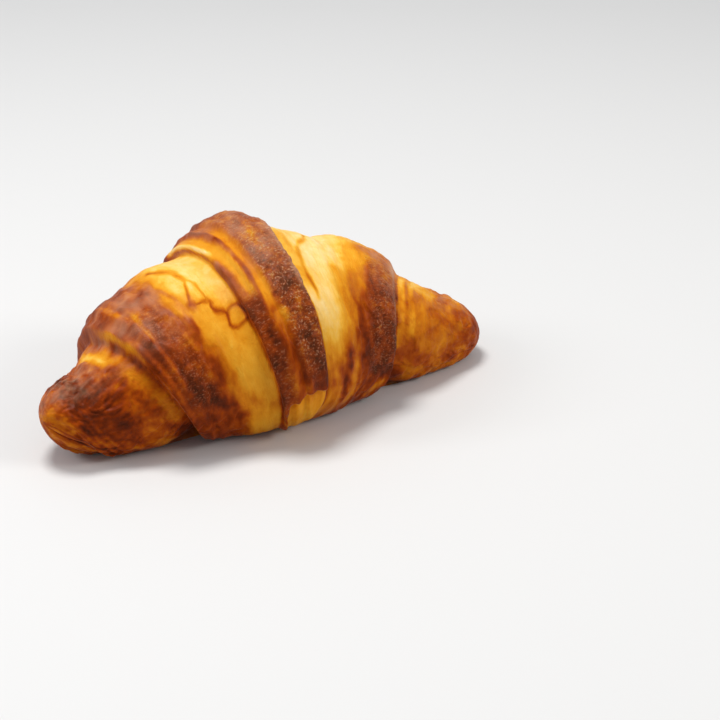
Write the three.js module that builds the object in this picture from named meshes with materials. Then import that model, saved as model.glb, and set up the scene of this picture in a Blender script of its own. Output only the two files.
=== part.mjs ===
// A baked croissant, rolled from one long triangular sheet of laminated dough.
// Millimetres, +Z up. The roll lies along X with its blunt end at -X, and -Y is its front.
// The origin is on the surface it rests on, under the middle of its box.
//
// A place on the crust is given by u, along the roll, and angle, round the roll:
// 0 is the front, 90 degrees the top, 180 the back and 270 the underside.
// "turn" is the angle unwound from the point of the sheet, which ends low at the front.
// Each full turn further in, the sheet is wider, so its two edges show as spirals:
// the outermost wrap is the crown band, the next one makes the shoulders, then come the ends.

import * as THREE from 'three';
import { mergeVertices } from 'three/addons/utils/BufferGeometryUtils.js';

const degree = Math.PI / 180;
const fullTurn = 2 * Math.PI;

// Overall form
const halfLength = 80;
const breadth = 1.12;            // depth of a section over its height
const settle = 0.82;             // how far up its radius a section's middle lies
const softBase = 3;              // height over which the flank rounds into the flat underside
const seamAngle = -62 * degree;  // where the point of the sheet ends, low at the front

// Each half of the roll: the core's end radius and what the shoulders add to it, the round tip and
// how far it bends, and the sheet's edge. lipHalf is half the width of the edge's round lip, on the
// crown band and then on the shoulder.
const left = {
  endRadius: 12.6, shoulder: 7.1, shoulderFrom: 68.5, shoulderFull: 43, tipLength: 25,
  forward: 10, lift: 6, endRate: 72, lipHalf: [1.3, 1.3],
  edge: [
    { run: 25, sway: 3.7, lean: 1.9 },
    { run: 30.6, sway: 3.6, lean: 6 },
  ],
};
const right = {
  endRadius: 13.8, shoulder: 5.8, shoulderFrom: 69.5, shoulderFull: 40, tipLength: 24,
  forward: 1.5, lift: -4.6, endRate: 34.4, lipHalf: [1.7, 2.6],
  edge: [
    { run: 43.2, sway: 7.8, lean: -7.8 },
    { run: 34.4, sway: -7.2, lean: 1.4 },
  ],
};
const middleSwell = 5;
const middleReach = 26;
const pointPlace = -6;           // u of the point of the sheet

// Wraps of the sheet: thickness from the outermost one inwards, and the shape of their edges
const wrapThickness = [6.4, 8.8, 1.3];
const endLipHalf = 1.3;
const noseShare = 0.55;          // share of the thickness that a lip itself rises
const swellReach = 29.5;         // width over which the rest of the thickness comes in
const overhang = 0.9;
const flapAngle = 44 * degree;   // where the crown band's cut end stops above the point
const flapStub = 0.3;

// Fine ridges where the layers fan out behind the left-hand lips
const ridgeRise = 1.3;
const ridgeFall = 3.6;
const crownRidges = [{ at: 4.6, height: 0.9 }, { at: 8.9, height: 0.9 }];
const shoulderRidges = [{ at: 2.9, height: 0.9 }, { at: 5.6, height: 0.6 }];

// Mesh density
const rowCount = 60;
const widestStep = 5.2;

function clamp(value, low, high) {
  return Math.min(Math.max(value, low), high);
}

function smooth(value) {
  const t = clamp(value, 0, 1);
  return t * t * (3 - 2 * t);
}

function sideOf(x) {
  return x < 0 ? left : right;
}

// Blend of a left and a right value, which changes over near the middle of the roll
function blend(name, x) {
  const t = smooth((x + 20) / 40);
  return left[name] * (1 - t) + right[name] * t;
}

// Distance that one edge of the sheet has travelled outwards after a given turn
function edgeTravel(side, turn) {
  const wraps = turn / fullTurn;
  const swing = side.edge[Math.floor(wraps + 1e-9)];
  const sway = swing ? swing.sway * Math.sin(turn) + swing.lean * (1 - Math.cos(turn)) : 0;
  return side.edge[0].run * clamp(wraps, 0, 1) + side.edge[1].run * clamp(wraps - 1, 0, 1)
    + side.endRate * Math.max(wraps - 2, 0) + sway;
}

function leftEdge(turn) {
  return pointPlace - edgeTravel(left, turn);
}

function rightEdge(turn) {
  return pointPlace + edgeTravel(right, turn);
}

function tipClosing(x) {
  const side = sideOf(x);
  const t = clamp((Math.abs(x) - (halfLength - side.tipLength)) / side.tipLength, 0, 1);
  return Math.sqrt(Math.max(1 - t ** 2.2, 0));
}

function coreRadius(x) {
  const side = sideOf(x);
  const along = Math.abs(x);
  const shoulder = smooth((side.shoulderFrom - along) / (side.shoulderFrom - side.shoulderFull));
  const middle = smooth((middleReach - along) / middleReach);
  return blend('endRadius', x) + blend('shoulder', x) * shoulder + middleSwell * middle;
}

// Share of a wrap's thickness at a distance inside its edge
function lip(distance, half) {
  const swell = Math.sin((Math.PI / 2) * clamp((distance - half) / swellReach, 0, 1));
  return smooth(distance / (2 * half)) * (noseShare + (1 - noseShare) * swell);
}

function ridges(list, distance) {
  let height = 0;
  for (const ridge of list) {
    const d = distance - ridge.at;
    height += ridge.height * smooth(d / ridgeRise) * (1 - smooth((d - ridgeRise) / ridgeFall));
  }
  return height;
}

// How far the crust is pushed along the roll near an edge, so that the lip stands over its groove
function lipShift(distance, half) {
  const t = (distance - half) / half;
  return overhang * t * Math.exp((1 - t * t) / 2);
}

// Flat underside that rounds smoothly into the flank
function settleOn(height, softness) {
  if (height > softness) return height;
  if (height < -softness) return 0;
  return (height + softness) ** 2 / (4 * softness);
}

// The point of the crust at u and turn, where turn runs from 0 to a full turn
function crustPoint(u, turn) {
  const angle = turn + seamAngle;
  const leftLips = [leftEdge(turn), leftEdge(turn + fullTurn), leftEdge(turn + 2 * fullTurn)];
  const rightLips = [rightEdge(turn), rightEdge(turn + fullTurn)];

  // Overhanging lips, which fade where the roll meets the surface below and where the crown is narrow
  const above = smooth((Math.sin(angle) + 0.75) / 0.35);
  const wide = smooth((rightLips[0] - leftLips[0]) / 10);
  const [crownLeft, shoulderLeft] = left.lipHalf;
  const [crownRight, shoulderRight] = right.lipHalf;
  const crownShift = lipShift(rightLips[0] - u, crownRight) - lipShift(u - leftLips[0], crownLeft);
  const shoulderShift = lipShift(rightLips[1] - u, shoulderRight) - lipShift(u - leftLips[1], shoulderLeft);
  const x = u + above * (wide * crownShift + shoulderShift);

  // The crown band ends in a cut above the sheet's point, and only a thin stub of it goes on
  const inCrown = u - leftLips[0];
  const cutAt = flapAngle - 12 * degree * (1 - smooth(inCrown / 5));
  const flap = turn < 75 * degree ? flapStub + (1 - flapStub) * smooth((turn - cutAt) / 0.12) : 1;
  const crown = lip(inCrown, crownLeft) * lip(rightLips[0] - u, crownRight) * flap * smooth(turn / 0.3);
  const crownRelief = ridges(crownRidges, inCrown)
    * smooth((rightLips[0] - u) / (2 * crownRight)) * smooth(turn / 0.8);
  const inShoulder = u - leftLips[1];
  const shoulder = lip(inShoulder, shoulderLeft) * lip(rightLips[1] - u, shoulderRight);
  const shoulderRelief = ridges(shoulderRidges, inShoulder) * (1 - smooth(inCrown / (2 * crownLeft)));
  const end = smooth((u - leftLips[2]) / (2 * endLipHalf)) * smooth(-u / 20);
  const radius = tipClosing(x) * (coreRadius(x)
    + wrapThickness[0] * crown + wrapThickness[1] * shoulder + wrapThickness[2] * end
    + crownRelief + shoulderRelief);

  // Height at which the section's middle rests
  const wrapsBelow = wrapThickness[1] * 0.6 * smooth((46 - Math.abs(x)) / 16)
    + wrapThickness[0] * 0.3 * smooth((16 - Math.abs(x)) / 12);
  const resting = clamp(x, 14 - halfLength, halfLength - 18);
  const middleHeight = settle * (coreRadius(resting) * tipClosing(resting) + wrapsBelow);
  const softness = Math.min(softBase, 0.3 * (coreRadius(x) * tipClosing(x) + wrapsBelow)) + 1e-9;

  const side = sideOf(x);
  const outward = Math.abs(x) / halfLength;
  const y = -radius * breadth * Math.cos(angle) - side.forward * outward ** 2;
  const height = middleHeight + radius * Math.sin(angle) + side.lift * outward ** 4;
  return new THREE.Vector3(x, y, settleOn(height, softness));
}

// Places along one row that follow the lips and ridges, each with a key to match it in the next row
function rowStations(turn) {
  const lipSteps = (half) => [-0.9, 0, 0.7, 1.3, 2].map((step) => step * half);
  const crownSteps = crownRidges.flatMap((ridge) => [ridge.at, ridge.at + ridgeRise]);
  const shoulderSteps = shoulderRidges.flatMap((ridge) => [ridge.at, ridge.at + ridgeRise]);
  const lips = [
    { key: 'left', wrap: 2, place: leftEdge(turn + 2 * fullTurn), way: 1,
      steps: [0, endLipHalf, 2 * endLipHalf] },
    { key: 'left', wrap: 1, place: leftEdge(turn + fullTurn), way: 1,
      steps: [...lipSteps(left.lipHalf[1]), ...shoulderSteps] },
    { key: 'left', wrap: 0, place: leftEdge(turn), way: 1,
      steps: [...lipSteps(left.lipHalf[0]), ...crownSteps] },
    { key: 'right', wrap: 0, place: rightEdge(turn), way: -1, steps: lipSteps(right.lipHalf[0]) },
    { key: 'right', wrap: 1, place: rightEdge(turn + fullTurn), way: -1, steps: lipSteps(right.lipHalf[1]) },
  ];
  const crownWidth = rightEdge(turn) - leftEdge(turn);
  const squeeze = Math.min(1, crownWidth / 18);

  const stations = [];
  for (const edge of lips) {
    edge.steps.forEach((step, index) => {
      const inside = edge.wrap === 0 && step > 0 ? step * squeeze : step;
      const u = edge.place + edge.way * inside;
      if (u > 6 - halfLength) stations.push({ u, key: `${edge.key} ${edge.wrap} ${index}` });
    });
  }
  for (const inset of [0, 0.4, 1.4, 3, 5.5, 9]) {
    stations.push({ u: inset - halfLength, key: `left tip ${inset}` });
    stations.push({ u: halfLength - inset, key: `right tip ${inset}` });
  }
  stations.sort((a, b) => a.u - b.u);
  return fillGaps(stations.filter((station, index) => index === 0 || station.u - stations[index - 1].u > 0.02));
}

function fillGaps(stations) {
  const filled = [stations[0]];
  for (let i = 1; i < stations.length; i += 1) {
    const from = stations[i - 1].u;
    const gap = stations[i].u - from;
    const parts = Math.ceil(gap / widestStep);
    for (let part = 1; part < parts; part += 1) filled.push({ u: from + (gap * part) / parts, key: null });
    filled.push(stations[i]);
  }
  return filled;
}

// The key that a station has once the sheet has gone round one more time
function nextWrapKey(key) {
  if (!key) return null;
  const [side, wrap, index] = key.split(' ');
  return wrap === 'tip' ? key : `${side} ${Number(wrap) + 1} ${index}`;
}

// Triangles between two neighbouring rows, stitched stretch by stretch between the keys they share
function stitch(lower, upper, lowerKeys, faces) {
  const upperByKey = new Map(upper.map((station, index) => [station.key, index]));
  let from = [0, 0];
  for (let i = 1; i < lower.length; i += 1) {
    const match = lowerKeys[i] ? upperByKey.get(lowerKeys[i]) : undefined;
    if (match === undefined || match <= from[1]) continue;
    stitchStretch(lower, upper, from, [i, match], faces);
    from = [i, match];
  }
}

function stitchStretch(lower, upper, from, to, faces) {
  let [a, b] = from;
  const share = (row, index, side) =>
    (row[index].u - row[from[side]].u) / (row[to[side]].u - row[from[side]].u);
  while (a < to[0] || b < to[1]) {
    const stepLower = b === to[1] || (a < to[0] && share(lower, a + 1, 0) < share(upper, b + 1, 1));
    const third = stepLower ? lower[a + 1].vertex : upper[b + 1].vertex;
    const face = [lower[a].vertex, third, upper[b].vertex];
    if (new Set(face).size === 3) faces.push(...face);
    if (stepLower) a += 1;
    else b += 1;
  }
}

function makeCrust() {
  const points = [];
  const faces = [];
  const tips = {};
  const rows = [];
  for (let i = 0; i < rowCount; i += 1) {
    const turn = (fullTurn * (i + 0.5)) / rowCount;
    const row = rowStations(turn);
    for (const station of row) {
      const isTip = Math.abs(station.u) === halfLength;
      if (isTip && tips[station.u] !== undefined) {
        station.vertex = tips[station.u];
        continue;
      }
      station.vertex = points.length;
      if (isTip) tips[station.u] = station.vertex;
      points.push(crustPoint(station.u, turn));
    }
    rows.push(row);
  }
  for (let i = 0; i < rowCount; i += 1) {
    const atSeam = i === rowCount - 1;
    const upper = rows[(i + 1) % rowCount];
    const keys = rows[i].map((station) => (atSeam ? nextWrapKey(station.key) : station.key));
    stitch(rows[i], upper, keys, faces);
  }
  const geometry = new THREE.BufferGeometry().setFromPoints(points);
  geometry.setIndex(faces);
  return mergeVertices(geometry, 1e-4);
}

function centreOnBase(geometry) {
  geometry.computeBoundingBox();
  const { min, max } = geometry.boundingBox;
  geometry.translate(-(min.x + max.x) / 2, -(min.y + max.y) / 2, -min.z);
  geometry.computeVertexNormals();
  return geometry;
}

const crustMaterial = new THREE.MeshStandardMaterial({ color: 0xb8681f, roughness: 0.42, metalness: 0 });
const croissant = new THREE.Mesh(centreOnBase(makeCrust()), crustMaterial);
croissant.name = 'croissant';

const part = new THREE.Group();
part.add(croissant);

export default part;
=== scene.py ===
# A baked croissant: one rolled sheet of layered dough, dressed with its browned crust.
# The form is worked out in millimetres and goes into the scene in metres.

import math

import bpy
import numpy as np
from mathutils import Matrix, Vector


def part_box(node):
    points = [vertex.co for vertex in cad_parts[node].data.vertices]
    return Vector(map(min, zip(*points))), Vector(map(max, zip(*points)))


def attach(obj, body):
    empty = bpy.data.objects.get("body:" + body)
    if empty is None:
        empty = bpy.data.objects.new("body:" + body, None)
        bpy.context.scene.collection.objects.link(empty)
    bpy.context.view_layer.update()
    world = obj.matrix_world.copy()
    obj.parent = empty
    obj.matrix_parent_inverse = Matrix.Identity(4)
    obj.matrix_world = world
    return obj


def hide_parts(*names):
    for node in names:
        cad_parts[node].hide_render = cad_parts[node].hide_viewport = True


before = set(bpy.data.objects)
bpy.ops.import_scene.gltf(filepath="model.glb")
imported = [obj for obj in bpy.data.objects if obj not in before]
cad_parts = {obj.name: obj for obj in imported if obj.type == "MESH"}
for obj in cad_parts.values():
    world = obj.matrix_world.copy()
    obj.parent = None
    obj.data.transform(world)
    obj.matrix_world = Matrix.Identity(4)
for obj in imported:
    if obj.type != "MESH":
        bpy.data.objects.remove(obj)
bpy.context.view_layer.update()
print("frame loaded, nodes:", sorted(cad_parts))

mm = 0.001
fullTurn = 2 * math.pi


# Camera, floor and light

camera = {
    "azimuth": -29.1,     # degrees round the croissant, 0 looks along +Y
    "elevation": 25.4,
    "distance": 0.655,
    "lens": 100,
    "sensor": 36,
    "sees": (0.01, 20),   # nearest and farthest
    "aimRight": 0.0315,   # how far right of the croissant's middle the picture's centre lies
    "aimUp": 0.0116,
}

light = {
    "air": (0.93, 0.96, 1.0),
    "airStrength": 0.44,
    "soft": [
        # name, place, size, watts, colour
        ("overhead", (-0.12, 0.12, 0.98), 0.36, 7.6, (1.0, 0.98, 0.95)),
        ("leftWindow", (-0.8, 0.2, 0.6), 0.36, 2.4, (0.97, 0.98, 1.0)),
        ("rightFill", (0.7, -0.75, 0.7), 0.45, 4.6, (1.0, 0.97, 0.92)),
    ],
}

floorFinish = {
    "colour": (0.66, 0.66, 0.66),
    "roughness": 0.7,
    "size": 6.0,
    "drop": 0.0002,       # lies just below the flat underside
}


def makeCamera():
    data = bpy.data.cameras.new("camera")
    data.lens = camera["lens"]
    data.sensor_width = camera["sensor"]
    data.clip_start, data.clip_end = camera["sees"]
    turned = math.radians(camera["azimuth"])
    raised = math.radians(camera["elevation"])
    back = Vector((
        math.sin(turned) * math.cos(raised),
        -math.cos(turned) * math.cos(raised),
        math.sin(raised),
    ))
    right = (-back).cross(Vector((0, 0, 1))).normalized()
    up = right.cross(-back)
    aim = right * camera["aimRight"] + up * camera["aimUp"]
    thing = bpy.data.objects.new("camera", data)
    thing.location = aim + back * camera["distance"]
    thing.rotation_euler = (-back).to_track_quat("-Z", "Y").to_euler()
    bpy.context.collection.objects.link(thing)
    bpy.context.scene.camera = thing


def makeLights():
    world = bpy.data.worlds.new("air")
    world.use_nodes = True
    sky = world.node_tree.nodes["Background"]
    sky.inputs["Color"].default_value = (*light["air"], 1)
    sky.inputs["Strength"].default_value = light["airStrength"]
    bpy.context.scene.world = world
    for name, place, size, watts, colour in light["soft"]:
        data = bpy.data.lights.new(name, "AREA")
        data.shape = "DISK"
        data.size = size
        data.energy = watts
        data.color = colour
        lamp = bpy.data.objects.new(name, data)
        lamp.location = place
        lamp.rotation_euler = (-Vector(place)).to_track_quat("-Z", "Y").to_euler()
        bpy.context.collection.objects.link(lamp)


def makeFloor():
    half = floorFinish["size"] / 2
    corners = [(-half, -half, 0), (half, -half, 0), (half, half, 0), (-half, half, 0)]
    surface = bpy.data.meshes.new("floor")
    surface.from_pydata(corners, [], [(0, 1, 2, 3)])
    floor = bpy.data.objects.new("floor", surface)
    floor.location.z = -floorFinish["drop"]
    bpy.context.collection.objects.link(floor)
    paint = bpy.data.materials.new("paleFloor")
    paint.use_nodes = True
    shader = paint.node_tree.nodes["Principled BSDF"]
    shader.inputs["Base Color"].default_value = (*floorFinish["colour"], 1)
    shader.inputs["Roughness"].default_value = floorFinish["roughness"]
    surface.materials.append(paint)


bpy.context.scene.view_settings.view_transform = "Standard"
makeCamera()
makeLights()
makeFloor()
print("camera, light and floor ready")


# Small tools for shaping and painting

def smooth(value):
    t = np.clip(value, 0, 1)
    return t * t * (3 - 2 * t)


def between(value, low, high, soft):
    return smooth((value - low) / soft + 0.5) * smooth((high - value) / soft + 0.5)


def latticeNoise(x, y, z, seed):
    # smooth gradient noise, about -1 to 1, the same on every run
    draw = np.random.default_rng(seed)
    order = np.tile(draw.permutation(256), 2)
    slopes = draw.normal(size=(256, 3))
    slopes /= np.linalg.norm(slopes, axis=1)[:, None]
    corner = [np.floor(a).astype(int) for a in (x, y, z)]
    inside = [a - c for a, c in zip((x, y, z), corner)]
    fade = [t * t * t * (t * (6 * t - 15) + 10) for t in inside]
    total = np.zeros_like(x)
    for dx in (0, 1):
        for dy in (0, 1):
            for dz in (0, 1):
                pick = order[(corner[0] + dx) & 255]
                pick = order[pick + ((corner[1] + dy) & 255)]
                pick = order[pick + ((corner[2] + dz) & 255)]
                slope = slopes[pick]
                dot = (slope[..., 0] * (inside[0] - dx) + slope[..., 1] * (inside[1] - dy)
                       + slope[..., 2] * (inside[2] - dz))
                weight = (fade[0] if dx else 1 - fade[0]) * (fade[1] if dy else 1 - fade[1])
                total += dot * weight * (fade[2] if dz else 1 - fade[2])
    return total * 1.6


# The roll's form, in millimetres

roll = {
    "halfLength": 80,
    "breadth": 1.12,            # depth of a section over its height
    "settle": 0.82,             # how far up its radius a section's middle lies
    "restEnds": (14, 18),       # how far from the left and right tip that holds
    "softBase": 3,              # how softly the flat underside begins
    "seamAngle": math.radians(-62),
    "middleSwell": 5,           # how much thicker the core is in the middle
    "middleReach": 26,
    "pointPlace": -6,           # where the sheet's point lies along the roll
    "thickness": [6.4, 8.8, 1.3],   # outermost wrap first
    "wrapLift": [(0.3, 16, 12), (0.6, 46, 16)],   # share of that which lifts the middle, reach, fade
    "noseShare": 0.55,          # how much of a wrap's height its lip has, before it swells
    "swellReach": 29.5,
    "flapAngle": math.radians(44),  # turn at which the last wrap is cut off
    "flapStub": 0.3,            # share of its thickness left below the cut
    "wander": 0.55,             # how far the lips stray from clean spirals
    "topReach": 5.0,            # how much further right the last wrap lies over the top,
    "flankReach": -2.2,         # on its flank
    "lowReach": 4.2,            # and low on its front
    "patternRadius": 30,        # radius that noise is laid out on, round the roll
    "crackRadius": 28,          # and cracks and crinkles
}

leftHalf = {
    "endRadius": 12.6,
    "shoulder": 7.1,            # how much thicker the core is at the shoulder
    "shoulderFrom": 68.5,       # where that begins
    "shoulderFull": 43,         # and where it is reached
    "tipLength": 25,
    "forward": 10,              # how far the tip bends to the front
    "lift": 6,                  # and up
    "endRate": 72,              # run of the end's spiral in each turn
    "lipHalf": [1.3, 1.3],      # half width of the crown's lip and the shoulder's
    "overhang": [1.1, 1.1],
    "edge": [(25, 3.7, 1.9), (30.6, 3.6, 6)],      # run, sway and lean of each wrap
}

rightHalf = {
    "endRadius": 13.8,
    "shoulder": 5.8,
    "shoulderFrom": 69.5,
    "shoulderFull": 40,
    "tipLength": 24,
    "forward": 1.5,
    "lift": -4.6,
    "endRate": 34.4,
    "lipHalf": [1.8, 2.8],
    "overhang": [0.7, 1.0],
    "edge": [(43.2, 7.8, -7.8), (34.4, -7.2, 1.4)],
}

layers = {
    "rise": 0.9,
    "fall": 3.6,
    "crown": [(4.4, 1.2), (8.6, 1.0)],             # place behind the lip, height
    "shoulder": [(1.1, 0.5), (3.9, 1.0), (6.9, 0.6)],
    "end": [(1.0, 0.6), (3.0, 0.5), (5.2, 0.5), (7.8, 0.4)],
}

# lanes: the left tip, the four lips and the right tip, set on one straight scale
laneMarks = [-80, -50, -20, 0, 40, 80]

grid = {
    "columns": 384,
    "tipColumns": 14,
    "tipReach": 4,
    "rowsAbove": [(0, -58), (20, -30), (56, -8), (150, 100), (222, 238)],   # row, degrees
    "rowsBelow": 16,            # across the underside, from the last of those back to the first
}


def leftOrRight(x, name):
    return np.where(x < 0, leftHalf[name], rightHalf[name])


def blend(x, name):
    t = smooth((x + 20) / 40)
    return leftHalf[name] * (1 - t) + rightHalf[name] * t


def edgeTravel(half, turn):
    wraps = turn / fullTurn
    first, second = half["edge"]
    run = (first[0] * np.clip(wraps, 0, 1) + second[0] * np.clip(wraps - 1, 0, 1)
           + half["endRate"] * np.maximum(wraps - 2, 0))
    sway = np.where(wraps < 1, first[1], np.where(wraps < 2, second[1], 0)) * np.sin(turn)
    lean = np.where(wraps < 1, first[2], np.where(wraps < 2, second[2], 0)) * (1 - np.cos(turn))
    return run + sway + lean


def wander(turn, seed):
    # even strays of a lip, which come back to nothing where the wraps join
    joined = np.sin(turn / 2) ** 2
    around = roll["patternRadius"] * turn
    return roll["wander"] * joined * (
        latticeNoise(around / 17, around * 0, around * 0 + 0.5, seed)
        + 0.5 * latticeNoise(around / 6, around * 0, around * 0 + 0.5, seed + 1))


def lipPlaces(turn):
    start = roll["pointPlace"]
    wound = np.degrees(turn)
    reach = (roll["topReach"] * np.exp(-((wound - 173) / 26) ** 2)
             + roll["flankReach"] * np.exp(-((wound - 106) / 32) ** 2)
             + roll["lowReach"] * np.exp(-((wound - 34) / 20) ** 2) * smooth(wound / 15))
    return {
        "left": [start - edgeTravel(leftHalf, turn + k * fullTurn) + wander(turn, 20 + k)
                 for k in range(3)],
        "right": [start + edgeTravel(rightHalf, turn + k * fullTurn) + wander(turn, 30 + k)
                  + (reach if k == 0 else 0) for k in range(2)],
    }


def tipClosing(x):
    length = leftOrRight(x, "tipLength")
    t = np.clip((np.abs(x) - (roll["halfLength"] - length)) / length, 0, 1)
    return np.sqrt(np.maximum(1 - t ** 2.2, 0))


def coreRadius(x):
    along = np.abs(x)
    start = leftOrRight(x, "shoulderFrom")
    shoulder = smooth((start - along) / (start - leftOrRight(x, "shoulderFull")))
    middle = smooth((roll["middleReach"] - along) / roll["middleReach"])
    return blend(x, "endRadius") + blend(x, "shoulder") * shoulder + roll["middleSwell"] * middle


def lip(distance, half):
    swell = np.sin(math.pi / 2 * np.clip((distance - half) / roll["swellReach"], 0, 1))
    return smooth(distance / (2 * half)) * (roll["noseShare"] + (1 - roll["noseShare"]) * swell)


def ridges(kind, distance):
    height = 0
    for at, tall in layers[kind]:
        behind = distance - at
        fallen = smooth((behind - layers["rise"]) / layers["fall"])
        height = height + tall * smooth(behind / layers["rise"]) * (1 - fallen)
    return height


def lipShift(distance, half, overhang):
    t = (distance - half) / half
    return overhang * t * np.exp((1 - t * t) / 2)


def settleOn(height, softness):
    risen = (height + softness) ** 2 / (4 * softness)
    return np.where(height > softness, height, np.where(height < -softness, 0, risen))


def placesOn(u, angle):
    # what a point of the crust is near to, for shaping and painting alike
    turn = (angle - roll["seamAngle"]) % fullTurn
    lips = lipPlaces(turn)
    end, shoulderLeft, crownLeft = lips["left"][2], lips["left"][1], lips["left"][0]
    crownRight, shoulderRight = lips["right"]
    rightTip = np.full_like(u, roll["halfLength"])
    stops = [-rightTip, shoulderLeft, crownLeft, crownRight, shoulderRight, rightTip]
    lane = np.full_like(u, laneMarks[-1])
    for first, last, mark, nextMark in zip(stops, stops[1:], laneMarks, laneMarks[1:]):
        part = np.clip((u - first) / np.maximum(last - first, 0.01), 0, 1)
        lane = np.where((u >= first) & (u <= last), mark + part * (nextMark - mark), lane)
    return {
        "u": u, "angle": angle, "turn": turn, "degrees": (np.degrees(angle) + 90) % 360 - 90,
        "high": np.sin(angle), "lane": lane, "girth": tipClosing(u),
        "inEnd": u - end, "inShoulder": u - shoulderLeft, "inCrown": u - crownLeft,
        "beforeCrownEnd": crownRight - u, "beforeShoulderEnd": shoulderRight - u,
        "crownWidth": crownRight - crownLeft,
    }


def crustNoise(here, along, around, seed, follow=True):
    # noise whose grain runs round the roll when "around" is longer than "along"
    reach = roll["patternRadius"] * here["girth"] / around
    across = (here["lane"] if follow else here["u"]) / along
    front = reach * np.cos(here["angle"]) + 7.3
    up = reach * np.sin(here["angle"]) - 3.1
    return latticeNoise(across, front, up, seed)


def flapCut(u, inCrown):
    # turn at which the last flap stops; its left strip runs on down to the ground
    strip = math.radians(30) * (1 - smooth((inCrown - 1.2) / 2.8))
    slope = math.radians(3) * smooth((inCrown - 3) / 6) - math.radians(2) * smooth((inCrown - 11) / 5)
    ragged = 0.009 * latticeNoise(u / 4.6, u * 0, u * 0 + 0.5, 41)
    return roll["flapAngle"] - strip + slope + ragged


def lipLean(here):
    # how far the lips lean out over the wraps below them
    crown = (lipShift(here["beforeCrownEnd"], rightHalf["lipHalf"][0], rightHalf["overhang"][0])
             - lipShift(here["inCrown"], leftHalf["lipHalf"][0], leftHalf["overhang"][0]))
    shoulder = (lipShift(here["beforeShoulderEnd"], rightHalf["lipHalf"][1], rightHalf["overhang"][1])
                - lipShift(here["inShoulder"], leftHalf["lipHalf"][1], leftHalf["overhang"][1]))
    return smooth(here["crownWidth"] / 10) * crown + shoulder


def crownHeight(here):
    # the last wrap, which stops short at its cut end, and the ridges behind its left lip
    turn = here["turn"]
    leftLip, rightLip = leftHalf["lipHalf"][0], rightHalf["lipHalf"][0]
    flap = smooth((turn - flapCut(here["u"], here["inCrown"])) / 0.09)
    flap = roll["flapStub"] + (1 - roll["flapStub"]) * flap
    flap = np.where(turn < math.radians(75), flap, 1)
    wrap = lip(here["inCrown"], leftLip) * lip(here["beforeCrownEnd"], rightLip)
    fine = ridges("crown", here["inCrown"]) * smooth(here["beforeCrownEnd"] / (2 * rightLip))
    return roll["thickness"][0] * wrap * flap * smooth(turn / 0.3) + fine * smooth(turn / 0.8)


def shoulderHeight(here):
    leftLip, rightLip = leftHalf["lipHalf"][1], rightHalf["lipHalf"][1]
    wrap = lip(here["inShoulder"], leftLip) * lip(here["beforeShoulderEnd"], rightLip)
    fine = ridges("shoulder", here["inShoulder"]) * (1 - smooth(here["inCrown"] / 2.6))
    return roll["thickness"][1] * wrap + fine


def endHeight(here):
    wrap = smooth(here["inEnd"] / 2.6) * smooth(-here["u"] / 20)
    fine = ridges("end", here["inEnd"]) * (1 - smooth(here["inShoulder"] / 2.6))
    return roll["thickness"][2] * wrap + fine


def crustPoints(u, angle):
    here = placesOn(u, angle)
    aboveGround = smooth((np.sin(angle) + 0.75) / 0.35)
    x = u + aboveGround * lipLean(here)
    closing = tipClosing(x)
    radius = closing * (coreRadius(x) + crownHeight(here) + shoulderHeight(here) + endHeight(here)
                        + crustRelief(here))

    # the wraps below lift a section's middle, most of all in the middle of the roll
    wrapsBelow = 0
    for thick, (share, reach, fade) in zip(roll["thickness"], roll["wrapLift"]):
        wrapsBelow = wrapsBelow + thick * share * smooth((reach - np.abs(x)) / fade)
    leftRest, rightRest = roll["restEnds"]
    resting = np.clip(x, leftRest - roll["halfLength"], roll["halfLength"] - rightRest)
    middle = roll["settle"] * (coreRadius(resting) * tipClosing(resting) + wrapsBelow)
    softness = np.minimum(roll["softBase"], 0.3 * (coreRadius(x) * closing + wrapsBelow)) + 1e-9
    outward = np.abs(x) / roll["halfLength"]
    y = -radius * roll["breadth"] * np.cos(angle) - leftOrRight(x, "forward") * outward ** 2
    z = middle + radius * np.sin(angle) + leftOrRight(x, "lift") * outward ** 4
    return np.stack([x, y, settleOn(z, softness)], -1), here


# Fine browned cracks in the pale dough, as place along the roll and degrees round it

cracks = [
    # strength, half width in millimetres, places
    (0.6, 0.85, [(-36, 106), (-34, 99), (-32.5, 95), (-31, 90), (-30.3, 85), (-30.2, 80)]),
    (0.62, 0.38, [(-30.2, 80), (-30.8, 76), (-31.5, 70), (-32.2, 64), (-32.5, 61), (-30, 59.5),
                  (-28, 61), (-26.4, 60)]),
    (0.52, 0.34, [(-30.2, 80), (-28.8, 78), (-27.8, 75), (-27.7, 68), (-27.3, 63), (-26.4, 60)]),
    (0.68, 0.4, [(-26.4, 60), (-26.9, 56), (-26.3, 53), (-25, 52.5), (-23.6, 51), (-23, 48.5),
                 (-23.3, 45), (-23.4, 42), (-22.4, 40), (-21.3, 38.5), (-20, 40), (-19, 41)]),
    (0.5, 0.38, [(-23, 48), (-22.3, 50.5), (-21, 51.5), (-20, 51), (-19, 48), (-18.4, 44)]),
    (0.62, 1.0, [(-32.2, 62), (-31.4, 60)]),
    (0.5, 0.8, [(-28.6, 60.6), (-26.3, 58.5)]),
    (0.5, 0.85, [(-26, 53), (-23.8, 51.2)]),
    (0.5, 0.6, [(-22.6, 40.6), (-21.2, 38.8)]),
    (0.42, 0.9, [(-79.6, -20), (-77, -24), (-72, -30), (-66, -36), (-60, -40)]),
    (0.4, 0.6, [(-78, -4), (-74, -14), (-68, -22), (-61, -28)]),
    (0.5, 0.55, [(5.4, 36), (5.2, 45), (5.3, 53), (6.1, 60), (6.8, 68), (8.2, 74), (10, 79),
                 (12.5, 84), (15, 90), (17, 96)]),
]


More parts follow.
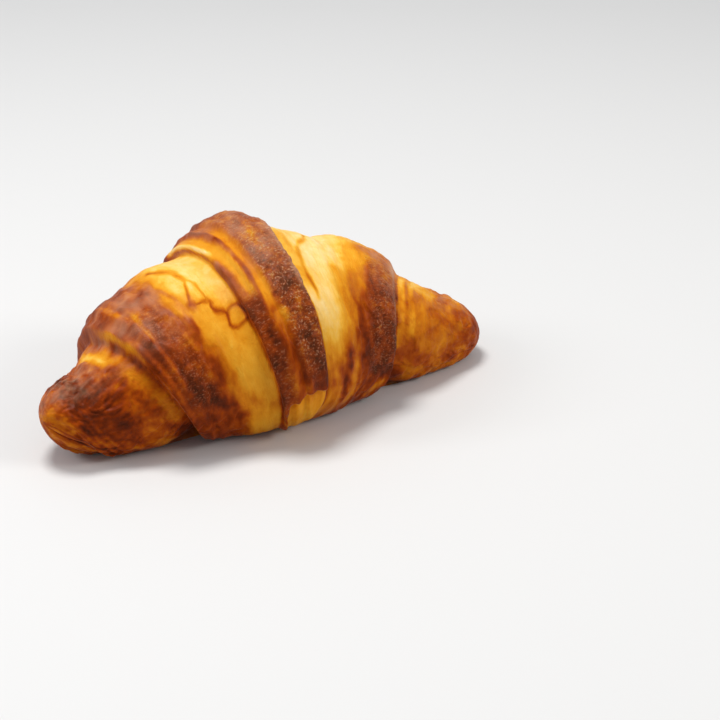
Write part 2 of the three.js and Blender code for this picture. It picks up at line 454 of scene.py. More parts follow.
def crackLines(here):
    radius = roll["crackRadius"]
    along = here["u"] + 0.4 * crustNoise(here, 5, 5, 51, False)
    around = radius * np.radians(here["degrees"]) + 0.4 * crustNoise(here, 5, 5, 52, False)
    uneven = 1 + 0.6 * crustNoise(here, 4, 4, 53, False)
    faded = np.clip(1.05 + 0.6 * crustNoise(here, 5, 5, 54, False), 0.6, 1.3)
    deepest = np.zeros_like(along)
    for strength, half, line in cracks:
        nearest = np.full_like(along, 99.0)
        ends = [(place, radius * math.radians(angle)) for place, angle in line]
        for (x0, y0), (x1, y1) in zip(ends, ends[1:]):
            length = (x1 - x0) ** 2 + (y1 - y0) ** 2
            t = np.clip(((along - x0) * (x1 - x0) + (around - y0) * (y1 - y0)) / length, 0, 1)
            away = np.hypot(along - x0 - t * (x1 - x0), around - y0 - t * (y1 - y0))
            nearest = np.minimum(nearest, away)
        core = 1 - smooth(nearest / (2.3 * half * uneven))
        halo = 0.2 * np.exp(-(nearest / 1.6) ** 2)
        deepest = np.maximum(deepest, strength * faded * (core + halo))
    return deepest


# Surface relief, in millimetres

relief = {
    "lumps": 0.55,       # slow rise and fall of the baked dough
    "folds": 0.24,       # stretch marks that run round the roll
    "wrinkles": 0.6,     # crinkled skin of the browned parts
    "blisters": 0.44,    # bubbled skin on the darkest crust
    "ends": 0.5,         # smaller lumps towards the tips
    "cracks": 0.25,      # depth of the browned cracks
    "tipCrease": 1.4,    # where the rolled edge shows, low on the left tip
    "topDip": 2.0,       # over the top, right of the last wrap
    "topSwell": 0.8,     # right of that dip
    "topEdge": 2.6,      # how much lower the last wrap's right edge lies over the top
    "softLip": 1.6,      # and the right shoulder's lip
}


def blisterMask(here):
    deg = here["degrees"]
    crown = between(here["inCrown"], 9.5, 99, 2) * smooth(here["beforeCrownEnd"] / 2)
    crown = crown * (between(deg, 2, 78, 24) + 0.55 * between(deg, 78, 200, 24))
    crown = crown * smooth((here["inCrown"] + here["beforeCrownEnd"] - 8) / 6)
    crownStrip = between(here["inCrown"], 1.8, 5.4, 1.2) * between(deg, -30, 52, 16) * 0.4
    crownStrip = crownStrip * smooth((here["turn"] - flapCut(here["u"], here["inCrown"])) / 0.06)
    rightLip = between(here["beforeShoulderEnd"], 1, 14, 5) * between(deg, -12, 76, 20) * 0.85
    broken = 0.45 + 0.55 * smooth(0.5 + 1.3 * crustNoise(here, 3.6, 4.5, 62))
    leftShoulder = between(here["lane"], -46, -37, 5) * between(deg, 0, 78, 22) * 0.42
    patchy = smooth(crustNoise(here, 9, 16, 61) * 0.9 + 0.75)
    return np.clip(crown + crownStrip + rightLip * broken + leftShoulder * patchy, 0, 1)


def softenedForms(here):
    # dips, swells and softened edges that the wraps took on while they rose
    high, beforeCrownEnd = here["high"], here["beforeCrownEnd"]
    swell = relief["topSwell"] * smooth((high - 0.55) / 0.4) * between(here["u"], 12, 20, 6)
    besideCrown = np.exp(-((here["u"] - 6.5) / 7) ** 2)
    dip = -relief["topDip"] * smooth((high - 0.5) / 0.4) * besideCrown
    overTop = np.exp(-((np.degrees(here["turn"]) - 173) / 30) ** 2)
    nearEdge = np.exp(-((beforeCrownEnd - 3.4) / 4.2) ** 2) * smooth(beforeCrownEnd / 3.5)
    edge = -relief["topEdge"] * overTop * nearEdge
    nearLip = np.exp(-((here["beforeShoulderEnd"] - 4.5) / 3.2) ** 2)
    softLip = -relief["softLip"] * smooth((high + 0.1) / 0.6) * nearLip
    besideCrease = (here["degrees"] + 22 + 1.1 * (here["u"] + 79)) / 7
    crease = -relief["tipCrease"] * np.exp(-besideCrease ** 2) * smooth((-66 - here["u"]) / 9)
    return swell + dip + edge + softLip + crease


def crustRelief(here):
    lumps = relief["lumps"] * (crustNoise(here, 15, 24, 11) + 0.5 * crustNoise(here, 7, 11, 12))
    folds = relief["folds"] * (crustNoise(here, 2.6, 26, 13) + 0.6 * crustNoise(here, 1.4, 15, 14))
    bubbled = blisterMask(here)
    bubbles = relief["blisters"] * bubbled * (
        crustNoise(here, 2.6, 1.5, 15, False) + 0.6 * crustNoise(here, 1.1, 1.3, 16, False))
    browned = smooth((bakeAndShadeOf(here) - 0.4) / 0.3)
    bent = 1.2 * crustNoise(here, 6, 6, 18, False)
    around = roll["crackRadius"] * here["turn"]
    crinkle = latticeNoise(here["u"] / 3.4 + bent, around / 6.5 + bent, here["u"] * 0, 19)
    crinkle = smooth(0.5 + 1.1 * crinkle) - 0.5
    wrinkles = relief["wrinkles"] * browned * crinkle * smooth(np.sin(here["turn"] / 2) * 4)
    ends = relief["ends"] * smooth((np.abs(here["u"]) - 52) / 12) * crustNoise(here, 5, 7, 17)
    opened = -relief["cracks"] * crackLines(here)
    return (lumps + folds * (1 - 0.6 * bubbled) + wrinkles + bubbles + ends + opened
            + softenedForms(here))


# How dark the crust is painted, 0 pale cream to 1 nearly black: its baking, with painted shade low down
# and in a crease, and painted light near the ground

bakeAndShadeTones = {
    # lane, tone: over the top, across the flank and low down; the low row is darker partly from browning
    # and partly as painted shade near the ground
    "top": [(-80, 0.6), (-74, 0.74), (-69, 0.88), (-62, 0.76), (-56, 0.62), (-51, 0.6),
            (-48, 0.72), (-42, 0.72), (-38, 0.56), (-34, 0.34), (-31, 0.16), (-26, 0.1),
            (-20, 0.14), (0, 0.1), (3, 0.14), (8, 0.06), (12, 0.04), (20, 0.1), (26, 0.3),
            (34, 0.46), (40, 0.54), (41, 0.28), (50, 0.34), (58, 0.46), (66, 0.56), (80, 0.66)],
    "flank": [(-80, 0.56), (-75, 0.62), (-71, 0.86), (-63, 0.86), (-58, 0.72), (-51, 0.68),
              (-48, 0.8), (-43, 0.84), (-37, 0.7), (-33, 0.56), (-30, 0.36), (-26, 0.26),
              (-20, 0.3), (0, 0.06), (3, 0.06), (9, 0.14), (12, 0.24), (16, 0.44), (20, 0.66),
              (29, 0.8), (36, 0.78), (40, 0.66), (41, 0.46), (50, 0.54), (58, 0.52),
              (68, 0.62), (80, 0.74)],
    "low": [(-80, 0.58), (-74, 0.64), (-66, 0.82), (-60, 0.78), (-54, 0.7), (-50, 0.72),
            (-46, 0.84), (-38, 0.86), (-32, 0.74), (-29, 0.5), (-24, 0.38), (-20, 0.44),
            (0, 0.36), (6, 0.48), (12, 0.56), (20, 0.68), (30, 0.88), (40, 0.88), (41, 0.64),
            (60, 0.66), (80, 0.72)],
    # distance behind the crown's left lip, tone
    "crownTop": [(0, 0.2), (2, 0.3), (5, 0.46), (9, 0.58), (12, 0.68), (16, 0.62), (30, 0.6)],
    "crownFlank": [(0, 0.6), (2, 0.68), (6, 0.7), (9, 0.74), (13, 0.8), (30, 0.78)],
    "crownLow": [(0, 0.7), (2, 0.82), (6, 0.8), (8, 0.74), (10, 0.8), (13, 0.9), (30, 0.9)],
}

darkestBake = 0.93

# stripes along the crown's left edge: line (degrees, millimetres behind the lip), half width,
# lowest and highest degrees, tone
crownStripes = [
    ([(95, 1.2), (85, 1.3), (65, 1.5), (50, 1.6)], 0.3, 48, 300, 0.56),
    ([(50, 1.4), (35, 0.9), (0, 0.6)], 0.6, -30, 50, 0.62),
    ([(84, 1.6), (70, 2.0), (50, 2.2)], 1.2, 47, 79, 0.62),
    ([(115, 2.2), (95, 2.1), (80, 2.9)], 0.6, 84, 136, 0.02),
    ([(115, 3.6), (95, 3.6), (75, 4.4), (55, 4.6)], 0.8, 50, 300, 0.3),
    ([(115, 5.4), (95, 5.5), (75, 6.1), (55, 6.1)], 0.55, 44, 300, 0.7),
    ([(100, 7.6), (80, 8.0), (60, 8.2), (42, 7.3)], 1.4, 42, 101, 0.38),
    ([(45, 3.8), (15, 3.0), (0, 2.8), (-30, 1.2)], 1.7, -40, 46, 0.84),
    ([(30, 7.0), (5, 6.6), (-6, 5.0)], 0.7, -12, 36, 0.64),
]

# stripes between the layers behind the left shoulder's lip, told in the same way, with their share
shoulderStripes = [
    ([(102, 1.75), (40, 1.75)], 0.55, 40, 102, 1.0),
    ([(112, 5.9), (88, 5.7)], 0.8, 84, 116, 0.45),
    ([(84, 8.2), (66, 7.0), (45, 5.8), (24, 5.2)], 0.7, 20, 84, 0.75),
    ([(60, 3.6), (30, 3.3), (0, 3.0)], 0.4, -6, 58, 0.4),
]

# rusty tongues reaching into the left shoulder's pale dough: line (degrees, place), half width,
# change of tone
tongues = [
    ([(74, -40.5), (69, -39.5), (63, -38), (59, -36.5), (54, -35), (48, -34), (40, -33.2)], 0.9, 0.16),
    ([(84, -37.5), (76, -36.4), (70, -35.2)], 0.8, 0.14),
    ([(30, -31.5), (18, -30.6), (6, -29.5), (-6, -28.5)], 1.1, 0.14),
]

# soft darker or paler patches: lane, degrees, half length, half height, change of tone
patches = [
    (-68, 36, 4.5, 24, 0.06),
    (-65, 70, 4, 13, 0.16),
    (35, 102, 6, 7, -0.12),
    (26, 82, 6, 10, 0.16),
    (24, 50, 5, 14, -0.09),
    (2, 6, 3, 14, 0.2),
    (-68, 76, 4, 10, 0.08),
    (-76, 14, 4, 12, -0.1),
    (-34, 67, 16, 10, 0.04),
    (-37.5, 44, 2.6, 8, -0.1),
    (-22, 28, 3, 10, 0.06),
    (68, 82, 4, 16, -0.14),
    (43.5, 90, 2.5, 10, 0.1),
    (43, -24, 5, 10, -0.16),
    (36, 6, 4, 10, 0.15),
    # the next is paler low down by the ground at the right shoulder: painted bounce light
    (30, -28, 8, 7, -0.16),
    (-46, 48, 3.5, 12, 0.12),
    (-42, 18, 3.5, 14, 0.1),
    (-8, 98, 4, 6, 0.14),
    (-74, -30, 8, 9, 0.12),
    (-14, 78, 5, 14, 0.1),
    (-14, 44, 4, 12, 0.1),
    (27, 96, 7, 8, -0.06),
    (66, 74, 5, 12, -0.1),
    (-56, -10, 5, 20, -0.14),
    (-37, 84, 3, 16, 0.12),
    (-24, 52, 4, 12, 0.06),
    (20.3, 18, 3.2, 9, 0.16),
    (11.8, 4, 1.6, 14, 0.2),
    (16, -3, 2.4, 8, -0.16),
    (20, 72, 2.2, 14, 0.12),
    (15, 62, 1.6, 5, 0.1),
    (33, 88, 5, 16, 0.08),
    (46.5, 60, 1.6, 20, 0.12),
    (47.5, 84, 3, 12, -0.16),
    (54, 70, 3, 16, -0.14),
    (62, 80, 5, 20, 0.1),
    (9, -18, 1.6, 22, 0.16),
    (14, -18, 2.2, 16, -0.2),
]


def tones(kind, place):
    stops = bakeAndShadeTones[kind]
    return np.interp(place, [stop[0] for stop in stops], [stop[1] for stop in stops])


def lineAt(line, deg):
    # where a line, told from its highest point down, lies at each height
    heights = [height for height, place in reversed(line)]
    places = [place for height, place in reversed(line)]
    return np.interp(deg, heights, places)


def byHeight(here, place, top, flank, low):
    # three rows of tones, blended by how high a spot lies; the lower rows hold painted shade as well as
    # browning
    rise = np.degrees(np.arcsin(here["high"]))
    atTop = smooth((rise - 42) / 34)
    atFoot = smooth((18 - rise) / 34)
    onFlank = 1 - atTop - atFoot
    return atTop * tones(top, place) + onFlank * tones(flank, place) + atFoot * tones(low, place)


def doughTone(here, stray):
    deg, lane = here["degrees"], here["lane"]
    streaky = 1.5 * crustNoise(here, 2.2, 12, 77) * between(lane, -41, -25, 4)
    behind = smooth((deg - 104) / 30)
    streaky = streaky + behind * (3 * crustNoise(here, 12, 16, 80) + 1.6 * crustNoise(here, 3, 16, 81))
    path = lane + stray + streaky + 8 * smooth((34 - deg) / 44) * between(lane, 1, 30, 4)
    # the strays don't cross the last wrap's right edge or the right shoulder's lip
    path = np.where(lane < 0, np.minimum(path, -0.01), path)
    path = np.where(lane > 0, np.maximum(path, 0.01), path)
    path = np.where(lane < 40, np.minimum(path, 39.99), np.maximum(path, 41))
    return byHeight(here, path, "top", "flank", "low")


def paintSpots(bakeAndShade, here, stray):
    deg = here["degrees"]
    for place, height, long, tall, change in patches:
        across = (here["lane"] - place + 0.5 * stray) / long
        up = (deg - height + 3 * stray) / tall
        bakeAndShade = bakeAndShade + change * np.exp(-across ** 2 - up ** 2)
    for line, half, change in tongues:
        off = (here["u"] + 0.5 * stray - lineAt(line, deg)) / half
        bakeAndShade = bakeAndShade + change * np.exp(-off ** 2) * between(deg, line[-1][0], line[0][0], 10)
    return bakeAndShade


def paintShoulderLayers(bakeAndShade, here, stray):
    # pale bands and fine stripes beside and between the layers at the left shoulder's lip
    deg = here["degrees"]
    outside = here["inCrown"] < 0
    broken = 0.55 + 0.45 * smooth(0.9 + 1.1 * crustNoise(here, 5, 9, 75))
    lower = smooth((76 - deg) / 30)
    beside = here["inShoulder"] + 2.9 - 0.9 * lower + 0.35 * stray
    band = np.exp(-(beside / (1.5 + 0.4 * lower)) ** 2)
    bright = 0.42 * between(deg, 70, 124, 20) + 0.2 * between(deg, -18, 68, 20)
    fine = 0
    for line, half, lowest, highest, share in shoulderStripes:
        off = here["inShoulder"] + 0.15 * stray - lineAt(line, deg)
        stripe = between(off, -half, half, 0.5 + 0.5 * half) * between(deg, lowest, highest, 14)
        fine = fine + share * stripe
    bakeAndShade = bakeAndShade - (bright * band + 0.34 * fine) * broken * outside
    edge = between(here["inShoulder"], -0.4, 1.0, 0.7) * outside
    return bakeAndShade + (0.76 - bakeAndShade) * 0.8 * edge


def paintCrown(bakeAndShade, here, stray):
    # the crown band has its own order of ridges and treads, up to its right edge
    deg, inCrown, beforeCrownEnd = here["degrees"], here["inCrown"], here["beforeCrownEnd"]
    crown = byHeight(here, inCrown + 0.25 * stray, "crownTop", "crownFlank", "crownLow")
    aboveCut = (here["turn"] - flapCut(here["u"], inCrown)) / 0.08
    onCrown = smooth(inCrown / 0.8 + 0.5) * smooth(beforeCrownEnd / 0.8 + 0.5) * smooth(aboveCut)
    rusty = 0.12 * smooth((3 - aboveCut) / 3) * smooth((inCrown - 2) / 2)
    bakeAndShade = bakeAndShade + (crown - rusty - bakeAndShade) * onCrown
    for line, half, lowest, highest, tone in crownStripes:
        off = inCrown + 0.1 * stray - lineAt(line, deg)
        stripe = between(off, -half, half, 0.3 + 0.5 * half) * between(deg, lowest, highest, 9)
        bakeAndShade = bakeAndShade + (tone - bakeAndShade) * 0.92 * stripe * onCrown
    paleSpot = np.exp(-((inCrown - 9.4) / 1.1) ** 2 - ((deg - 34) / 3) ** 2)
    bakeAndShade = bakeAndShade - 0.4 * onCrown * paleSpot

    # the golden dough below the cut end, painted shade in the crease beside it and the strip at the right
    # edge
    under = (1 - onCrown) * between(inCrown, 3, 60, 2) * smooth(beforeCrownEnd + 0.5)
    bakeAndShade = bakeAndShade + (0.42 - bakeAndShade) * under * smooth((here["high"] + 0.85) / 0.2) * (deg < 0)
    # painted shade in the crease by the last wrap's right edge, low down
    crease = np.exp(-((beforeCrownEnd - 0.6) / 0.9) ** 2) * smooth((-8 - deg) / 6)
    bakeAndShade = bakeAndShade + 0.34 * crease
    golden = between(beforeCrownEnd, -3.6, 1.4, 1.4) * between(deg, 40, 92, 14)
    return bakeAndShade + (0.27 - bakeAndShade) * 0.75 * golden * (1 - onCrown)


def paintEnds(bakeAndShade, here, stray):
    # faint layers on the left end, shade tucked below the shoulders' lips, bands on the right end
    deg = here["degrees"]
    layered = between(here["inEnd"], 0.5, 10, 2) * smooth((26 - deg) / 20)
    layered = layered * smooth(-here["inShoulder"] / 3)
    waves = np.sin(here["inEnd"] * 2.4 + 2.6 * crustNoise(here, 9, 9, 76, False))
    bakeAndShade = bakeAndShade - 0.06 * layered * waves
    for before in (here["inShoulder"], here["beforeShoulderEnd"]):
        tucked = np.exp(-((before + 2) / 3.5) ** 2) * (before < 0)
        bakeAndShade = bakeAndShade + 0.34 * tucked * smooth((-6 - deg) / 24)
    past = -here["beforeShoulderEnd"] + 0.2 * stray
    bands = between(past, 0.3, 2.0, 1.0) - between(past, 2.4, 3.3, 0.9) + between(past, 3.9, 5.4, 1.0)
    bands = bands * between(deg, 12, 110, 26) * smooth(0.7 + crustNoise(here, 3, 6, 82))
    return bakeAndShade - 0.12 * bands


def bakeAndShadeOf(here):
    deg = here["degrees"]
    stray = 1.9 * crustNoise(here, 6, 12, 71) + 1.0 * crustNoise(here, 2.4, 5, 72)
    bakeAndShade = doughTone(here, stray)
    for paint in (paintSpots, paintShoulderLayers, paintCrown, paintEnds):
        bakeAndShade = paint(bakeAndShade, here, stray)
    # painted light: paler towards the ground on the front, lifting the shade that falls low down
    bakeAndShade = bakeAndShade - 0.1 * smooth((-14 - deg) / 14)
    bottom = np.maximum(smooth((-36 - deg) / 16), smooth((deg - 222) / 16))
    bakeAndShade = bakeAndShade + (0.62 - bakeAndShade) * 0.8 * bottom * (1 - between(here["u"], -9, 5, 3))

    # uneven spots, stronger where it is browned and weaker on the right end
    spotted = (0.05 + 0.16 * smooth((bakeAndShade - 0.4) / 0.3)) * (1 - 0.4 * smooth((here["lane"] - 40) / 2))
    spots = crustNoise(here, 3.4, 6, 73) + 0.5 * crustNoise(here, 1.5, 2.4, 74, False)
    bakeAndShade = bakeAndShade + spotted * spots
    bakeAndShade = bakeAndShade + 0.14 * crustNoise(here, 6, 10, 83) * smooth((bakeAndShade - 0.3) / 0.2)
    return np.clip(bakeAndShade, 0, darkestBake)


def paintedSheenOf(here):
    # painted sheen: a pale sheen painted over the browned top where it faces up, and on rims where a
    # wrap's right edge curls under
    deg = here["degrees"]
    rise = np.degrees(np.arcsin(here["high"]))
    crown = between(here["beforeCrownEnd"], 2.4, 4.4, 1.0) * between(deg, 38, 104, 20)
    shoulder = between(here["beforeShoulderEnd"], 2.0, 5.9, 2) * between(deg, 24, 110, 24)
    patchy = 0.55 + 0.7 * crustNoise(here, 4, 6, 78) + 0.4 * crustNoise(here, 1.7, 2.2, 79)
    patchy = np.clip(patchy, 0, 1.3)
    # painted sheen, strongest on the browned top where it faces up towards the lights
    topSheen = smooth((rise - 34) / 52) * smooth((bakeAndShadeOf(here) - 0.36) / 0.2) * patchy
    return np.clip(0.8 * crown * patchy + 0.6 * shoulder * patchy + 0.8 * topSheen, 0, 1)


# The crust's mesh and its stored numbers

def meshGrid():
    half, tip = roll["halfLength"], grid["tipReach"]
    near = tip * (np.arange(1, grid["tipColumns"] + 1) / grid["tipColumns"]) ** 2
    middle = np.linspace(tip - half, half - tip, grid["columns"])
    columns = np.concatenate([near - half, middle[1:-1], half - near[::-1]])
    counts = [count for count, degrees in grid["rowsAbove"]]
    places = [degrees for count, degrees in grid["rowsAbove"]]
    above = np.interp(np.arange(counts[-1]), counts, places)
    below = np.linspace(places[-1], places[0] + 360, grid["rowsBelow"], endpoint=False)
    rows = np.radians(np.concatenate([above, below]))
    return np.meshgrid(columns, rows, indexing="ij")


def fitInBox(points, low, high):
    # brings the crust's own box onto the solid's box, less than a millimetre each way
    ownLow, ownHigh = points.min(0), points.max(0)
    return low + (points - ownLow) / (ownHigh - ownLow) * (high - low)


def gridFaces(columns, rows):
    # four-sided faces between the rings of points, and a fan of triangles at each tip
    across = np.arange(columns - 1)[:, None] * rows
    down = np.arange(rows)[None, :]
    after = (down + 1) % rows
    quads = np.stack([across + down, across + after, across + rows + after, across + rows + down], -1)
    leftTip, rightTip = columns * rows, columns * rows + 1
    lastRing = (columns - 1) * rows
    ring = [(a, (a + 1) % rows) for a in range(rows)]
    fans = [(leftTip, b, a) for a, b in ring]
    fans += [(rightTip, lastRing + a, lastRing + b) for a, b in ring]
    return quads.reshape(-1, 4).tolist(), fans


def storeNumbers(skin, here, tipHere):
    # what the material reads at each point: the browning with some painted shade and light, the painted
    # sheen, the blisters and the cracks
    measures = {"bakeAndShade": bakeAndShadeOf, "blisters": blisterMask, "paintedSheen": paintedSheenOf, "cracks": crackLines}
    for name, measure in measures.items():
        values = np.concatenate([measure(here).ravel(), measure(tipHere)])
        skin.attributes.new(name, "FLOAT", "POINT").data.foreach_set("value", values)
    lane, angle, girth = [np.concatenate([here[name].ravel(), tipHere[name]])
                          for name in ("lane", "angle", "girth")]
    radius = roll["patternRadius"] * girth
    grain = np.stack([lane, radius * np.cos(angle), radius * np.sin(angle)], -1)
    skin.attributes.new("grain", "FLOAT_VECTOR", "POINT").data.foreach_set("vector", grain.ravel())


def makeCrust():
    u, angle = meshGrid()
    points, here = crustPoints(u, angle)
    half = float(roll["halfLength"])
    tips, tipHere = crustPoints(np.array([-half, half]), np.zeros(2))
    points = np.concatenate([points.reshape(-1, 3), tips])
    low, high = [np.array(corner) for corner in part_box("croissant")]
    points = fitInBox(points * mm, low, high)
    quads, fans = gridFaces(*u.shape)

    skin = bpy.data.meshes.new("crust")
    skin.from_pydata(points.tolist(), [], quads + fans)
    skin.polygons.foreach_set("use_smooth", np.ones(len(skin.polygons), bool))
    storeNumbers(skin, here, tipHere)
    skin.validate()
    thing = bpy.data.objects.new("crust", skin)
    bpy.context.collection.objects.link(thing)
    print("crust has", len(points), "points and", 2 * len(quads) + len(fans), "triangles")
    return thing


# Crust material

crustFinish = {
    # bake level, colour
    "ramp": [
        (0.0, (0.88, 0.65, 0.3)),
        (0.1, (0.85, 0.54, 0.15)),
        (0.19, (0.82, 0.44, 0.055)),
        (0.26, (0.74, 0.33, 0.022)),
        (0.36, (0.67, 0.255, 0.01)),
        (0.44, (0.56, 0.17, 0.004)),
        (0.53, (0.47, 0.12, 0.002)),
        (0.62, (0.36, 0.066, 0.001)),
        (0.72, (0.275, 0.04, 0.0008)),
        (0.82, (0.19, 0.024, 0.0008)),
        (0.91, (0.125, 0.016, 0.0012)),
        (1.0, (0.06, 0.01, 0.002)),
    ],
    "toastedColour": (0.17, 0.055, 0.02),   # blistered crust, browner than the smooth glaze
    "toastedShare": 0.3,
    # painted sheen: the pale colour and its share laid over the browned top and its rims
    "paintedSheenColour": (0.55, 0.29, 0.17),
    "paintedSheenShare": 0.5,
    # painted highlights on the crinkle tops and painted shade in their hollows, over the blisters
    "speckHighlightShare": 0.5,     # how pale the tops of the crinkles are
    "hollowShadeDepth": 0.9,     # and how dark their hollows
    # how much each pattern darkens and lightens
    "streakTone": 0.05,
    "mottleTone": 0.15,
    "blotchTone": 0.3,
    "filmTone": 0.04,
    "crackTone": 0.4,
    # and how far it stands out or, below nothing, lies in
    "bumps": {"pores": 0.25, "bubbles": 0.7, "streaks": 0.5, "film": 0.12, "cracks": -0.5, "specks": 0.45},
    "bumpStrength": 0.8,
    "bumpHeight": 0.0008,
    # how fine the patterns are: the first two in the object's own space, the rest along the roll
    # and round it
    "pores": 1500.0,
    "mottle": 330.0,
    "streaks": (0.8, 0.12, 0.12),
    "film": (0.26, 0.12, 0.12),
    "crinkles": (0.55, 0.9, 0.9),
    "specks": (1.5, 1.7, 1.7),
    "filmEdge": (0.46, 0.56),
    "speckEdge": (0.53, 0.68),
    "roughPale": 0.5,
    "roughDark": 0.4,
    "roughMottle": 0.15,
    "specular": 0.02,
    "coat": 0.08,
    "coatRoughness": 0.34,
    "haze": 0.12,          # pale veil where the crust is seen edge on
    "hazeRoughness": 0.2,
    "hazeColour": (0.95, 0.86, 0.86),
    "glow": 0.1,           # how much light soaks into the pale layers
    "glowReach": 0.002,
    "glowColours": (1.0, 0.45, 0.15),
}


class NodeDesk:
    # lays out shader nodes and joins their sockets by name
    def __init__(self, material):
        material.use_nodes = True
        self.tree = material.node_tree
        self.shader = self.tree.nodes["Principled BSDF"]

    def add(self, kind, settings=None, **sockets):
        node = self.tree.nodes.new(kind)
        for name, value in (settings or {}).items():
            setattr(node, name, value)
        for name, value in sockets.items():
            place = int(name[1:]) if name[1:].isdigit() else name
            self.join(node.inputs[place], value)
        return node

    def join(self, socket, value):
        if isinstance(value, bpy.types.NodeSocket):
            self.tree.links.new(value, socket)
        else:
            socket.default_value = value

    def maths(self, operation, first, second=0.0, clamp=False):
        settings = {"operation": operation, "use_clamp": clamp}
        return self.add("ShaderNodeMath", settings, i0=first, i1=second).outputs[0]

    def plus(self, first, second, clamp=False):
        return self.maths("ADD", first, second, clamp)

    def times(self, first, second):
        return self.maths("MULTIPLY", first, second)

    def swing(self, value, reach):
        # a noise from 0 to 1, made to go both ways from nothing
        return self.times(self.maths("SUBTRACT", value, 0.5), 2 * reach)

    def blend(self, share, first, second):
        sockets = {"i0": share, "i6": first, "i7": (*second, 1)}
        return self.add("ShaderNodeMix", {"data_type": "RGBA"}, **sockets).outputs[2]

    def step(self, value, edge):
        node = self.add("ShaderNodeMapRange", {"interpolation_type": "SMOOTHSTEP"}, Value=value)
        node.inputs["From Min"].default_value, node.inputs["From Max"].default_value = edge
        return node.outputs[0]

    def stretched(self, place, scale):
        return self.add("ShaderNodeMapping", None, Vector=place, Scale=scale).outputs[0]

    def noise(self, place, scale, detail=3.0, roughness=0.5):
        sockets = {"Vector": place, "Scale": scale, "Detail": detail, "Roughness": roughness}
        return self.add("ShaderNodeTexNoise", None, **sockets).outputs["Fac"]

    def stored(self, name, socket="Fac"):
        return self.add("ShaderNodeAttribute", {"attribute_name": name}).outputs[socket]


def crustPatterns(desk):
    blisters = desk.stored("blisters")
    grain = desk.stored("grain", "Vector")
    spot = desk.add("ShaderNodeTexCoord").outputs["Object"]
    crinkled = desk.stretched(grain, crustFinish["crinkles"])
    film = desk.noise(desk.stretched(grain, crustFinish["film"]), 1.0, 4.0, 0.62)
    speckle = desk.noise(desk.stretched(grain, crustFinish["specks"]), 1.0, 2.4, 0.6)
    cells = desk.add("ShaderNodeTexVoronoi", {"feature": "SMOOTH_F1"}, Vector=crinkled, Scale=1.0,
                     Smoothness=0.5)
    bubbles = desk.maths("SUBTRACT", 0.7, cells.outputs["Distance"])
    return {
        "blisters": blisters,
        "cracks": desk.stored("cracks"),
        "pores": desk.noise(spot, crustFinish["pores"], 4.0, 0.6),
        "mottle": desk.noise(spot, crustFinish["mottle"], 6.0, 0.66),
        "streaks": desk.noise(desk.stretched(grain, crustFinish["streaks"]), 1.0, 5.0, 0.6),
        "film": desk.step(film, crustFinish["filmEdge"]),
        "blotches": desk.noise(crinkled, 1.0, 2.0, 0.5),
        "bubbles": desk.times(bubbles, blisters),
        "speckle": speckle,
        "specks": desk.times(desk.step(speckle, crustFinish["speckEdge"]), blisters),
    }


def crustTone(desk, pattern):
    # the stored browning and painted shade, with the fine patterns on it
    bakeAndShade = desk.stored("bakeAndShade")
    blisters = pattern["blisters"]
    mottle = desk.swing(pattern["mottle"], crustFinish["mottleTone"])
    # painted shade in the hollows of the speckle and paler painted highlights on its tops, where the crust
    # is blistered
    hollowShade = desk.swing(pattern["speckle"], -crustFinish["hollowShadeDepth"] / 2)
    blotches = desk.swing(pattern["blotches"], crustFinish["blotchTone"])
    tone = desk.plus(bakeAndShade, desk.swing(pattern["streaks"], crustFinish["streakTone"]))
    tone = desk.plus(tone, desk.times(mottle, desk.plus(bakeAndShade, 0.25)))
    tone = desk.plus(tone, desk.swing(pattern["film"], crustFinish["filmTone"] / 2))
    tone = desk.plus(tone, desk.times(pattern["cracks"], crustFinish["crackTone"]))
    tone = desk.plus(tone, desk.times(hollowShade, blisters))
    return desk.plus(tone, desk.times(blotches, blisters), True)


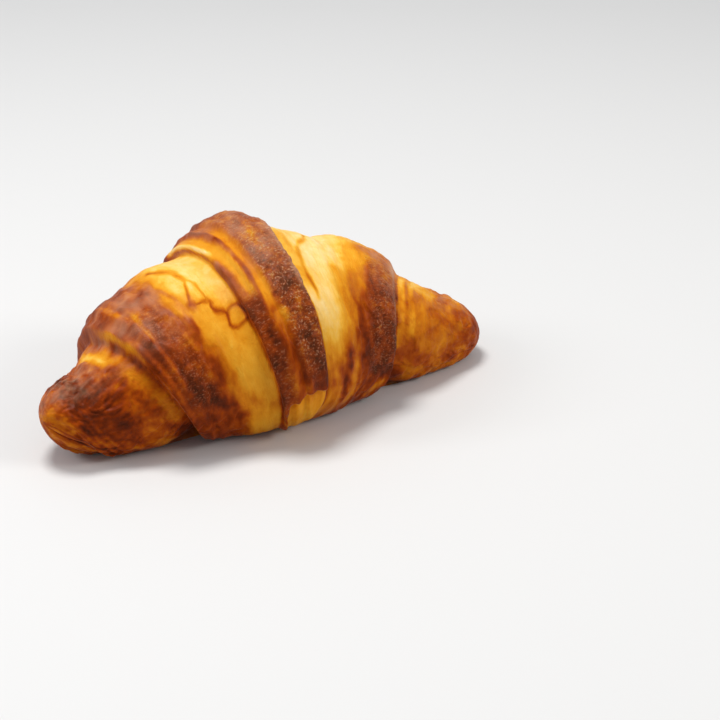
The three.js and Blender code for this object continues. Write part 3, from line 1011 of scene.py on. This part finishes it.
def crustColour(desk, pattern, tone):
    ramp = desk.add("ShaderNodeValToRGB", None, Fac=tone)
    stops = ramp.color_ramp.elements
    while len(stops) < len(crustFinish["ramp"]):
        stops.new(0.5)
    for stop, (level, colour) in zip(stops, crustFinish["ramp"]):
        stop.position = level
        stop.color = (*colour, 1)
    toastedShare = desk.times(pattern["blisters"], crustFinish["toastedShare"])
    toasted = desk.blend(toastedShare, ramp.outputs["Color"], crustFinish["toastedColour"])
    # painted sheen from the stored numbers, with painted highlights on the crinkle tops added to it
    paintedSheen = desk.times(desk.stored("paintedSheen"), crustFinish["paintedSheenShare"])
    paintedSheen = desk.plus(paintedSheen, desk.times(pattern["specks"], crustFinish["speckHighlightShare"]), True)
    return desk.blend(paintedSheen, toasted, crustFinish["paintedSheenColour"])


def crustBump(desk, pattern):
    height = 0.0
    for name, share in crustFinish["bumps"].items():
        height = desk.plus(height, desk.times(pattern[name], share))
    bump = desk.add("ShaderNodeBump", None, Height=height, Strength=crustFinish["bumpStrength"],
                    Distance=crustFinish["bumpHeight"])
    return bump.outputs["Normal"]


def crustRoughness(desk, pattern, tone):
    shine = desk.add("ShaderNodeMapRange", None, Value=tone)
    shine.inputs["To Min"].default_value = crustFinish["roughPale"]
    shine.inputs["To Max"].default_value = crustFinish["roughDark"]
    mottle = desk.swing(pattern["mottle"], crustFinish["roughMottle"])
    return desk.plus(shine.outputs[0], mottle, True)


def crustMaterial():
    material = bpy.data.materials.new("bakedCrust")
    desk = NodeDesk(material)
    pattern = crustPatterns(desk)
    tone = crustTone(desk, pattern)
    desk.join(desk.shader.inputs["Base Color"], crustColour(desk, pattern, tone))
    desk.join(desk.shader.inputs["Normal"], crustBump(desk, pattern))
    desk.join(desk.shader.inputs["Roughness"], crustRoughness(desk, pattern, tone))
    fixed = {
        "Specular IOR Level": crustFinish["specular"],
        "Coat Weight": crustFinish["coat"],
        "Coat Roughness": crustFinish["coatRoughness"],
        "Sheen Weight": crustFinish["haze"],
        "Sheen Roughness": crustFinish["hazeRoughness"],
        "Sheen Tint": (*crustFinish["hazeColour"], 1),
        "Subsurface Weight": crustFinish["glow"],
        "Subsurface Radius": crustFinish["glowColours"],
        "Subsurface Scale": crustFinish["glowReach"],
    }
    for name, value in fixed.items():
        desk.shader.inputs[name].default_value = value
    return material


crust = makeCrust()
crust.data.materials.append(crustMaterial())
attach(crust, "root")
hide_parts("croissant")
print("crust shaped and finished")
